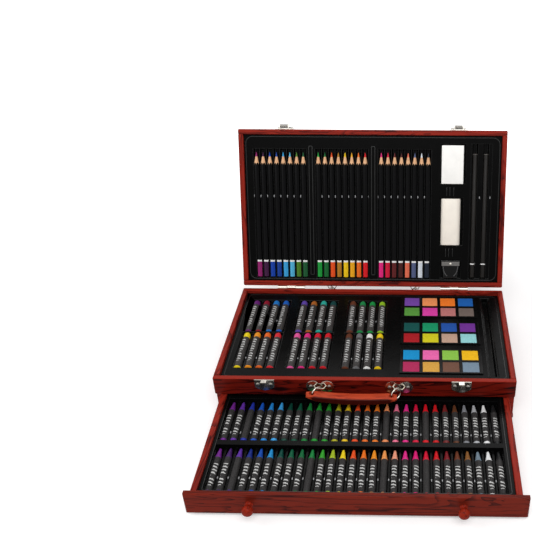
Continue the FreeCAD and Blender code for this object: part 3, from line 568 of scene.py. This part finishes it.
# ---- paints ----
# Three black pans, each with a rim that lies on the tray, a narrower well in the tray's bay, and
# two rows of four bays for pressed cakes of paint.
pan_black = moulded_plastic("pan_black", 0.2, (8, 8, 8), 0.10)
pan_size = (0.1070, 0.0535, 0.0015)
pan_well = (0.0985, 0.0460, 0.0024)
pan_left = 0.0433
pan_fronts = (0.0414, -0.0243, -0.0900)
pan_foot = 0.0536
pan_step = (0.0256, 0.0262)
pan_margin = (0.0044, 0.0028)
cake_bay = 0.0215
cake_bay_depth = 0.0012
pans = []
bpy.context.tool_settings.mesh_select_mode = (False, False, True)
for pan_front in pan_fronts:
    pan = new_block(pan_size, (pan_left + pan_size[0] / 2, pan_front + pan_size[1] / 2,
                               pan_foot + pan_size[2] / 2))
    bay_lefts = [pan_left + pan_margin[0] + column * pan_step[0] for column in range(4)]
    bay_fronts = [pan_front + pan_margin[1] + row * pan_step[1] for row in range(2)]
    for polygon in pan.data.polygons:
        polygon.select = polygon.normal.z < -0.9
    bpy.ops.object.mode_set(mode="EDIT")
    bpy.ops.mesh.inset(thickness=(pan_size[1] - pan_well[1]) / 2)
    bpy.ops.mesh.extrude_region_move(TRANSFORM_OT_translate={"value": (0, 0, -pan_well[2])})
    for edge in bay_lefts:
        for cut_x in (edge, edge + cake_bay):
            bpy.ops.mesh.select_all(action="SELECT")
            bpy.ops.mesh.bisect(plane_co=(cut_x, 0, 0), plane_no=(1, 0, 0))
    for edge in bay_fronts:
        for cut_y in (edge, edge + cake_bay):
            bpy.ops.mesh.select_all(action="SELECT")
            bpy.ops.mesh.bisect(plane_co=(0, cut_y, 0), plane_no=(0, 1, 0))
    bpy.ops.mesh.select_all(action="DESELECT")
    bpy.ops.object.mode_set(mode="OBJECT")
    for polygon in pan.data.polygons:
        across = any(edge < polygon.center.x < edge + cake_bay for edge in bay_lefts)
        along = any(edge < polygon.center.y < edge + cake_bay for edge in bay_fronts)
        polygon.select = polygon.normal.z > 0.9 and across and along
    bpy.ops.object.mode_set(mode="EDIT")
    bpy.ops.mesh.extrude_region_move(TRANSFORM_OT_translate={"value": (0, 0, -cake_bay_depth)})
    bpy.ops.object.mode_set(mode="OBJECT")
    soften(pan, 0.0003)
    pan.data.materials.append(pan_black)
    pans.append(pan)
pan_set = join_pieces(pans, "pan_set")
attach(pan_set, "case")
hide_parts("paint_pans")
cake_size = (0.0213, 0.0213, 0.0010)
cake_top = 0.0549
cake_colours = (
    ((118, 70, 166), (244, 150, 92), (244, 124, 40), (28, 96, 176),
     (88, 150, 62), (222, 66, 166), (190, 118, 116), (112, 98, 92)),
    ((14, 78, 74), (20, 148, 100), (34, 82, 166), (112, 48, 148),
     (170, 26, 34), (214, 204, 30), (196, 160, 140), (150, 212, 216)),
    ((22, 144, 204), (238, 106, 176), (140, 196, 76), (244, 188, 26),
     (178, 46, 92), (218, 164, 72), (114, 80, 66), (122, 142, 160)),
)
cake_chalk = wax("cake_chalk", 0.75)
cake_base = new_block(cake_size, (0, 0, 0))
bpy.ops.object.mode_set(mode="EDIT")
bpy.ops.mesh.select_all(action="SELECT")
bpy.ops.mesh.bevel(offset=0.0004, segments=3, affect="EDGES")
bpy.ops.object.mode_set(mode="OBJECT")
bpy.ops.object.shade_smooth_by_angle(angle=math.radians(40))
cake_base.data.materials.append(cake_chalk)
cakes = []
for pan_front, hues in zip(pan_fronts, cake_colours):
    for place, pigment in enumerate(hues):
        row, column = divmod(place, 4)
        cake = coloured_copy(cake_base, "cake", pigment)
        cake.location = (pan_left + pan_margin[0] + cake_bay / 2 + column * pan_step[0],
                         pan_front + pan_margin[1] + cake_bay / 2 + (1 - row) * pan_step[1],
                         cake_top - cake_size[2] / 2)
        cakes.append(cake)
remove_piece(cake_base)
cake_set = join_pieces(cakes, "cake_set")
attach(cake_set, "case")
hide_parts("paint_cakes")


# ---- drawer ----
# A front board as wide as the case, two sides, a back and a thin bottom let into grooves, of the
# same stained wood, with a black plastic tray for two rows of crayons.
front_wood = stained_wood("front_wood", 0, (112, 33, 20), (50, 12, 9), figure_depth=0.34)
finish_node("drawer_front", front_wood, board_edge)
finish_node("drawer_back", wood_across, board_edge)
for name in ("drawer_left_side", "drawer_right_side"):
    finish_node(name, wood_along, 0.0006)
finish_node("drawer_bottom", wood_across)
finish_node("drawer_tray", tray_black, 0.0005, angle=20, highlight_material=tray_highlight)
drawer_line_low = (-0.1722, -0.2768)
drawer_line_high = (0.1722, -0.0848)
drawer_tray_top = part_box("drawer_tray")[1][2]
drawer_line = raised_line("drawer_tray_line", drawer_line_low, drawer_line_high, drawer_tray_top, 0.004)
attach(drawer_line, "drawer")


# ---- crayons ----
# Fifty-six wax crayons in two rows, each with a pointed end, a bare foot and a grey paper sleeve
# with a printed band.  Four in each row lie with the band turned away.
crayon_radius = 0.0041
crayon_end_radius = 0.0039
crayon_length = 0.0755
crayon_sleeve_start = 0.0042
crayon_sleeve_end = 0.0580
crayon_axis = 0.02355
crayon_pitch = 0.01214
crayon_first = -0.16554
crayon_roll = 0.3
crayon_slack = 0.0008
turned_away = (2, 9, 16, 20)
turned_away_roll = 2.4
crayon_wax = wax("crayon_wax", 0.38)
crayon_sleeve = printed_sleeve("crayon_sleeve", 0.15, 0.62, 0.12, 15.0, 1.2, (28, 27, 27), (54, 52, 52))
crayon_base = turned_piece("crayon_base", (
    (0.0035, 0.0), (crayon_end_radius, 0.0004), (crayon_end_radius, 0.0041),
    (crayon_radius, crayon_sleeve_start), (crayon_radius, crayon_sleeve_end),
    (crayon_end_radius, 0.0581), (crayon_end_radius, 0.0600),
    (0.0035, 0.0612), (0.0024, 0.0680), (0.0016, 0.0738), (0.0012, 0.0750), (0.0005, crayon_length)), 20)
wrap_uv(crayon_base, crayon_length)
crayon_base.data.materials.append(crayon_wax)
crayon_base.data.materials.append(crayon_sleeve)
faces_between(crayon_base, crayon_sleeve_start, crayon_sleeve_end, 1)
crayon_colours = {
    "back": ((112, 40, 140), (98, 50, 160), (36, 52, 160), (24, 84, 186), (36, 132, 208), (60, 158, 222),
             (12, 64, 52), (16, 78, 56), (26, 124, 56), (34, 146, 50), (40, 150, 44), (176, 172, 34),
             (236, 196, 34), (236, 82, 34), (236, 112, 34), (238, 126, 38), (238, 146, 92), (238, 118, 150),
             (232, 46, 140), (216, 24, 64), (214, 22, 36), (204, 26, 32), (112, 34, 34), (96, 56, 34),
             (132, 134, 140), (178, 180, 184), (240, 240, 240), (26, 26, 27)),
    "front": ((112, 38, 136), (66, 30, 96), (92, 48, 156), (24, 44, 130), (24, 78, 176), (38, 144, 208),
              (10, 70, 60), (14, 92, 62), (18, 104, 58), (26, 128, 62), (54, 160, 46), (166, 190, 44),
              (244, 214, 36), (234, 84, 34), (238, 116, 34), (242, 148, 36), (242, 156, 84), (240, 158, 128),
              (226, 44, 138), (224, 32, 120), (212, 22, 54), (208, 24, 34), (120, 26, 34), (104, 54, 34),
              (134, 88, 44), (116, 134, 148), (242, 242, 242), (26, 26, 27)),
}
chance = random.Random(21)
for row, tip, stands_for in (("back", -0.1153, "crayons_back_row"), ("front", -0.2017, "crayons_front_row")):
    crayons = []
    for place, pigment in enumerate(crayon_colours[row]):
        stick = coloured_copy(crayon_base, "crayon", pigment)
        roll = turned_away_roll if place in turned_away else chance.uniform(-crayon_roll, crayon_roll)
        stick.rotation_euler = laid_down(roll)
        stick.location = (crayon_first + place * crayon_pitch,
                          tip - crayon_length - chance.uniform(0, crayon_slack), crayon_axis)
        crayons.append(stick)
    crayon_row = join_pieces(crayons, "crayon_" + row + "_row")
    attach(crayon_row, "drawer")
    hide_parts(stands_for)
remove_piece(crayon_base)
crayon_nib_places = (-0.1734, -0.2511)
crayon_gaps = len(crayon_colours["back"]) - 1
crayon_nibs = tray_nibs("crayon_nibs", [(crayon_first + (gap + 0.5) * crayon_pitch, along, crayon_axis)
                                        for gap in range(crayon_gaps) for along in crayon_nib_places],
                        nib_size, nib_highlight)
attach(crayon_nibs, "drawer")


# ---- knobs ----
# Two knobs turned from the same wood, each with a foot, a narrow neck and a flattened ball.
# A screw from behind holds each to the drawer's front.
knob_place = (0.1185, -0.2865, 0.018)
knob_wood = stained_wood("knob_wood", 1, (140, 36, 18), (84, 18, 10), scale=2.0, gloss=0.25)
for side, name in ((-1, "knob_left"), (1, "knob_right")):
    knob = turned_piece("turned_" + name, (
        (0.0050, 0.0), (0.0050, 0.0008), (0.0042, 0.0014), (0.0036, 0.0026), (0.0036, 0.0046),
        (0.0044, 0.0054), (0.0056, 0.0060), (0.0063, 0.0076), (0.0066, 0.0095), (0.0063, 0.0116),
        (0.0054, 0.0132), (0.0038, 0.0143), (0.0020, 0.0148), (0.0004, 0.01495)), 32)
    knob.rotation_euler = (math.radians(90), 0, 0)
    knob.location = (side * knob_place[0], *knob_place[1:])
    knob.data.materials.append(knob_wood)
    join_pieces([knob], "turned_" + name)
    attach(knob, "drawer")
    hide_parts(name)


# ---- lid boards ----
# Four walls and a thin panel, held up at its open angle.  In the lid's own frame, Y runs from the
# hinge to the latches and Z comes out of the tray.
lid_angle = 113.5
hinge_pin = Vector((0, 0.1130, 0.05815))
lid_corner = Vector((0, 0.1105, 0.0583))
lid_place = (Matrix.Translation(hinge_pin) @ Matrix.Rotation(math.radians(-lid_angle), 4, "X")
             @ Matrix.Translation(lid_corner - hinge_pin) @ Matrix.Rotation(math.radians(180), 4, "X"))
lid_tilt = math.radians(lid_angle - 180)
lid_across = stained_wood("lid_across", 0, board_red, grain_dark, tilt=lid_tilt)
lid_along = stained_wood("lid_along", 1, board_red, grain_dark, tilt=lid_tilt)
for name in ("lid_hinge_wall", "lid_front_wall"):
    finish_node(name, lid_across, board_edge)
for name in ("lid_left_wall", "lid_right_wall"):
    finish_node(name, lid_along, board_edge)
lid_figured = stained_wood("lid_figured", 0, (132, 26, 18), (40, 7, 8), tilt=lid_tilt, figure_depth=0.38,
                           figure=(15.0, 3.6), ring_count=26.0)
finish_node("lid_panel", lid_figured, 0.0003)


# ---- lid tray ----
# A thin sheet of black plastic with three bays of grooves for the pencils, two hollow ridges
# between them, and pockets on the right for the eraser, the block, the sharpener and two sticks.
def into_lid(piece, name):
    """Takes a piece drawn in the lid's own frame to its place in the open lid."""
    bpy.context.view_layer.update()
    piece.matrix_world = lid_place @ piece.matrix_world
    bpy.context.view_layer.update()
    return join_pieces([piece], name)


lid_black = moulded_plastic("lid_black", 0.24, (5, 5, 5), 0.03)
finish_node("lid_tray", lid_black, 0.0005, angle=20, highlight_material=tray_highlight)
lid_flange = -0.0045
ridge_places = ((-0.0887, "left"), (0.0007, "middle"))
ridge_half_width = 0.0029
ridge_ends = (0.016, 0.199)
# The raised lines round the flange and between the bays are painted lighter grey as highlights.
lid_line = raised_line("lid_line", (-0.1812, 0.0093), (0.1812, 0.2117), lid_flange, 0.010)
lid_line = into_lid(lid_line, "lid_tray_line")
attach(lid_line, "lid")
for centre, name in ridge_places:
    rib = raised_line(name, (centre - ridge_half_width, ridge_ends[0]),
                      (centre + ridge_half_width, ridge_ends[1]), lid_flange, 0.0015)
    rib = into_lid(rib, "lid_" + name + "_rib")
    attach(rib, "lid")


# ---- pencils ----
# Twenty-four six-sided pencils, black with a white ring and a foot in the colour of the lead,
# sharpened to a cone of bare cedar.
pencil_radius = 0.0036
pencil_length = 0.177
pencil_ring_start = 0.0217
pencil_ring_end = 0.0242
pencil_cone_start = 0.1595
pencil_lead_start = 0.1708
scallops_start = 0.145
pencil_foot_place = 0.013
pencil_axis = -0.0066
pencil_pitch = 0.0096
pencil_groups = (-0.133, -0.0444, 0.0458)
pencil_paint = moulded_plastic("pencil_paint", 0.2, (6, 6, 7), 0.06)
pencil_white = moulded_plastic("pencil_white", 0.28, (236, 236, 234), 0.5)
cedar = stained_wood("cedar", 1, (232, 184, 142), (206, 152, 110), scale=3.0, tilt=lid_tilt, gloss=0.6)
pencil_foot = wax("pencil_foot", 0.25)
pencil_base = turned_piece("pencil_base", (
    (0.0034, 0.0), (pencil_radius, 0.0003), (pencil_radius, pencil_ring_start),
    (pencil_radius, pencil_ring_end), (pencil_radius, pencil_length)), 6)
sharp = turned_piece("sharp", (
    (0.0060, -0.010), (0.0060, 0.1487), (pencil_radius * 1.02, pencil_cone_start),
    (0.00155, pencil_lead_start), (0.00030, pencil_length - 0.0001)), 28)
for paint in (pencil_paint, pencil_white, pencil_foot, cedar):
    pencil_base.data.materials.append(paint)
black, white, hue, wood = range(4)
cut = pencil_base.modifiers.new("cut", "BOOLEAN")
cut.operation = "INTERSECT"
cut.object = sharp
bpy.ops.object.select_all(action="DESELECT")
pencil_base.select_set(True)
bpy.context.view_layer.objects.active = pencil_base
bpy.ops.object.modifier_apply(modifier="cut")
remove_piece(sharp)
for polygon in pencil_base.data.polygons:
    height = polygon.center.z
    if height > pencil_lead_start or height < pencil_ring_start:
        polygon.material_index = hue
    elif polygon.normal.z > 0.05 and height > scallops_start:
        polygon.material_index = wood
    elif height < pencil_ring_end:
        polygon.material_index = white
    else:
        polygon.material_index = black
bpy.ops.object.shade_smooth_by_angle(angle=math.radians(25))
pencil_colours = (
    ((150, 34, 110), (62, 16, 62), (10, 64, 170), (16, 62, 150), (58, 164, 222), (84, 184, 226),
     (74, 126, 34), (18, 88, 46)),
    ((22, 158, 60), (12, 104, 46), (240, 84, 26), (182, 124, 34), (248, 206, 20), (244, 176, 28),
     (240, 112, 30), (222, 24, 34)),
    ((236, 40, 132), (216, 22, 62), (98, 28, 30), (74, 26, 24), (240, 116, 86), (84, 96, 134),
     (224, 232, 240), (22, 30, 46)),
)
pencils = []
for centre, hues in zip(pencil_groups, pencil_colours):
    for place, pigment in enumerate(hues):
        stick = coloured_copy(pencil_base, "pencil", pigment)
        stick.rotation_euler = (math.radians(-90), 0, 0)
        stick.location = (centre + (place - 3.5) * pencil_pitch, pencil_foot_place, pencil_axis)
        pencils.append(stick)
remove_piece(pencil_base)
pencil_set = into_lid(join_pieces(pencils, "pencil_set"), "pencil_set")
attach(pencil_set, "lid")
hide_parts("pencils")
nib_place = 0.1288
nib_beside_sticks = (0.15375, 0.1688)
first_gaps = (0, 1, 0)
nib_gaps = [centre + (gap - 4) * pencil_pitch
            for centre, first in zip(pencil_groups, first_gaps) for gap in range(first, first + 8)]
pencil_nibs = tray_nibs("nibs", [(gap, nib_place, pencil_axis) for gap in (*nib_gaps, *nib_beside_sticks)],
                        nib_size, nib_highlight)
pencil_nibs = into_lid(pencil_nibs, "pencil_nibs")
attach(pencil_nibs, "lid")


# ---- drawing sticks ----
# Two round drawing sticks, dark grey from foot to tip, with a white ring near the foot and a
# paler core.  They lie in two grooves at the right edge of the lid's tray.
stick_radius = 0.0034
stick_ring_start = 0.0190
stick_ring_end = 0.0206
stick_shoulder = 0.1745
stick_length = 0.1752
stick_foot_place = 0.014
core_grey = moulded_plastic("core_grey", 0.55, (92, 88, 84), 0.5)
graphite = moulded_plastic("graphite", 0.3, (26, 24, 22), 0.12)
sticks = []
for x in (0.146, 0.1615):
    stick = turned_piece("stick", (
        (0.0030, 0.0), (stick_radius, 0.0004), (stick_radius, stick_ring_start),
        (stick_radius, stick_ring_end), (stick_radius, stick_shoulder), (0.0030, stick_length)), 24)
    stick.data.materials.append(graphite)
    stick.data.materials.append(pencil_white)
    stick.data.materials.append(core_grey)
    faces_between(stick, stick_ring_start, stick_ring_end, 1)
    faces_between(stick, stick_shoulder, math.inf, 2)
    stick.rotation_euler = (math.radians(-90), 0, 0)
    stick.location = (x, stick_foot_place, pencil_axis)
    sticks.append(stick)
stick_pair = into_lid(join_pieces(sticks, "stick_pair"), "stick_pair")
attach(stick_pair, "lid")
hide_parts("drawing_sticks")


# ---- eraser and block ----
# A white vinyl eraser with crisp edges, and below it an ivory block with rounded long sides.
# Short ribs, painted lighter grey as highlights, stand on the tray above and below the block.
def rounded_block(name, size, middle, side_rounding, rounding, material):
    """A block in the lid's own frame, its long upper edges rounded more than the rest."""
    block = new_block(size, middle)
    bpy.context.tool_settings.mesh_select_mode = (False, True, False)
    bpy.ops.object.mode_set(mode="EDIT")
    bpy.ops.mesh.select_all(action="DESELECT")
    bpy.ops.object.mode_set(mode="OBJECT")
    points = block.data.vertices
    for edge in block.data.edges:
        start, end = (points[index].co for index in edge.vertices)
        edge.select = abs(start.y - end.y) > size[1] / 2 and start.z > middle[2]
    bpy.ops.object.mode_set(mode="EDIT")
    bpy.ops.mesh.bevel(offset=side_rounding, segments=8, affect="EDGES")
    bpy.ops.object.mode_set(mode="OBJECT")
    soften(block, rounding, segments=3, angle=40)
    bpy.ops.object.shade_smooth_by_angle(angle=math.radians(40))
    block.data.materials.append(material)
    return into_lid(block, name)


def dusty_white(name, colour, gloss):
    """Pale rubber with faint smudges."""
    material, tree, shader = plain_material(name)
    smudged = [0.97 * c for c in colour]
    smudges = noise(tree, own_place(tree), 90.0, 5.0)
    link(tree, two_tone(tree, smudges, smudged, colour, 0.25, 0.6), shader.inputs["Base Color"])
    shader.inputs["Roughness"].default_value = gloss
    return material


eraser = rounded_block("white_eraser", (0.0312, 0.053, 0.011), (0.1140, 0.1742, -0.0065), 0.0010, 0.0006,
                       dusty_white("eraser_vinyl", (252, 250, 246), 0.5))
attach(eraser, "lid")
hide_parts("eraser")
block = rounded_block("ivory_bar", (0.0282, 0.066, 0.012), (0.1127, 0.0940, -0.007), 0.0075, 0.0009,
                      dusty_white("ivory", (246, 238, 226), 0.4))
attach(block, "lid")
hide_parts("ivory_block")
rib_size = (0.0007, 0.0125, 0.0007)
rib_places = [(x, along, lid_flange) for x in (0.1065, 0.1110, 0.1165) for along in (0.1370, 0.0500)]
block_ribs = into_lid(tray_nibs("ribs", rib_places, rib_size, tray_highlight), "block_ribs")
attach(block_ribs, "lid")


# ---- sharpener ----
# A black wedge-shaped body with two curved finger grips and a steel blade, which one small
# nickel-plated screw holds.
def nickel(name, colour, gloss):
    """Plated or bare steel with a faintly uneven gloss."""
    material, tree, shader = plain_material(name)
    haze = noise(tree, own_place(tree), 260.0, 4.0)
    link(tree, ranged(tree, haze, gloss - 0.06, gloss + 0.1), shader.inputs["Roughness"])
    shader.inputs["Base Color"].default_value = (*linear(colour), 1)
    shader.inputs["Metallic"].default_value = 1.0
    return material


sharpener_black = moulded_plastic("sharpener_black", 0.28, (12, 12, 12), 0.1)
# Grey paint on the body's bevelled edges and on the finger grips: painted highlight.
sharpener_highlight = moulded_plastic("sharpener_highlight", 0.2, (70, 70, 70), 0.5)
blade_steel = nickel("blade_steel", (96, 94, 92), 0.35)
plate_nickel = nickel("plate_nickel", (196, 191, 181), 0.16)
sharpener_middle = (0.114, 0.0298)
sharpener_top = -0.0024
blade_screw_place = (0.114, 0.034, -0.0016)
grip_thickness = 0.0008
grip_radius = 0.0105
grip_turn = 62
grip_stretch = 1.45
finish_node("sharpener", sharpener_black, 0.0005, highlight_material=sharpener_highlight)
finish_node("sharpener_blade", blade_steel, 0.0002)
grips = []
bpy.context.tool_settings.mesh_select_mode = (False, False, True)
for side in (-1, 1):
    ridge = new_block([grip_thickness] * 3, (side * grip_radius, 0, 0))
    bpy.ops.object.mode_set(mode="EDIT")
    bpy.ops.mesh.select_all(action="DESELECT")
    bpy.ops.object.mode_set(mode="OBJECT")
    for polygon in ridge.data.polygons:
        polygon.select = polygon.normal.y < -0.9
    bpy.ops.object.mode_set(mode="EDIT")
    bpy.ops.mesh.spin(steps=10, angle=side * math.radians(grip_turn), center=(0, 0, 0), axis=(0, 0, 1))
    bpy.ops.mesh.select_all(action="SELECT")
    bpy.ops.mesh.remove_doubles(threshold=0.00001)
    bpy.ops.mesh.normals_make_consistent(inside=False)
    bpy.ops.object.mode_set(mode="OBJECT")
    ridge.scale = (1, grip_stretch, 1)
    ridge.location = (*sharpener_middle, sharpener_top)
    ridge.data.materials.append(sharpener_highlight)
    grips.append(ridge)
finger_grips = into_lid(join_pieces(grips, "finger_grips"), "finger_grips")
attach(finger_grips, "lid")
blade_screw = turned_piece("blade_screw", (
    (0.0016, -0.0002), (0.0016, 0.0004), (0.0013, 0.0007), (0.0006, 0.0008), (0.0005, 0.0004)), 20)
blade_screw.location = blade_screw_place
blade_screw.data.materials.append(plate_nickel)
blade_screw = into_lid(blade_screw, "blade_screw")
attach(blade_screw, "lid")


# ---- metal fittings ----
# Pressed nickel-plated steel: hinges, latch plates, hasps, hooks, eye plates and wire rings.
# Domed screws hold them to the boards, and the back grip has two rivets.
sheet_edge = 0.00025
# The hasps take a darker copy of the plate nickel: painted shade, for the dark reflections they show.
hasp_nickel_painted_shade = nickel("hasp_nickel_painted_shade", (132, 129, 124), 0.2)
screw_steel = nickel("screw_steel", (150, 147, 142), 0.3)
for name in ("hasp_left", "hasp_right"):
    finish_node(name, hasp_nickel_painted_shade, sheet_edge, angle=35)
for name in ("case_hinge_leaves", "lid_hinge_leaves", "latch_plate_left", "latch_plate_right",
             "hook_plate_left", "hook_plate_right", "front_eye_plate_left", "front_eye_plate_right",
             "back_eye_plate_left", "back_eye_plate_right"):
    finish_node(name, plate_nickel, sheet_edge, angle=35)
for name in ("hinge_pins", "latch_pins"):
    finish_node(name, plate_nickel)
for name in ("hook_plate_screws", "latch_plate_screws", "front_eye_screws", "back_eye_screws",
             "back_handle_rivets"):
    finish_node(name, screw_steel)
for name in ("front_handle_rings", "back_handle_rings"):
    finish_node(name, plate_nickel)
    weld = node[name].modifiers.new("weld", "WELD")
    weld.merge_threshold = 0.00002
    smooth = node[name].modifiers.new("smooth", "SUBSURF")
    smooth.levels = 2
    smooth.render_levels = 2


# ---- grips ----
# Two bowed bars of wood with a hole near each end for the rings.  The front one is lighter, apart
# from its outer face, which is painted dark as shade, and the back one is as dark as the case.
grip_edge = 0.0008
painted_shade_start = -0.1296
painted_shade_full = -0.1306
grip_wood = stained_wood("grip_wood", 0, (188, 70, 40), (128, 38, 22), scale=1.6)
# Painted shade: the front grip's outer face takes a dark colour for the shade that falls on it.
second_colour(grip_wood, "Y", painted_shade_start, painted_shade_full, (62, 13, 8))
dark_grip_wood = stained_wood("dark_grip_wood", 0, (120, 34, 20), (66, 16, 10), scale=1.6)
finish_node("front_handle_grip", grip_wood, grip_edge, segments=3, angle=20)
finish_node("back_handle_grip", dark_grip_wood, grip_edge, segments=3, angle=20)
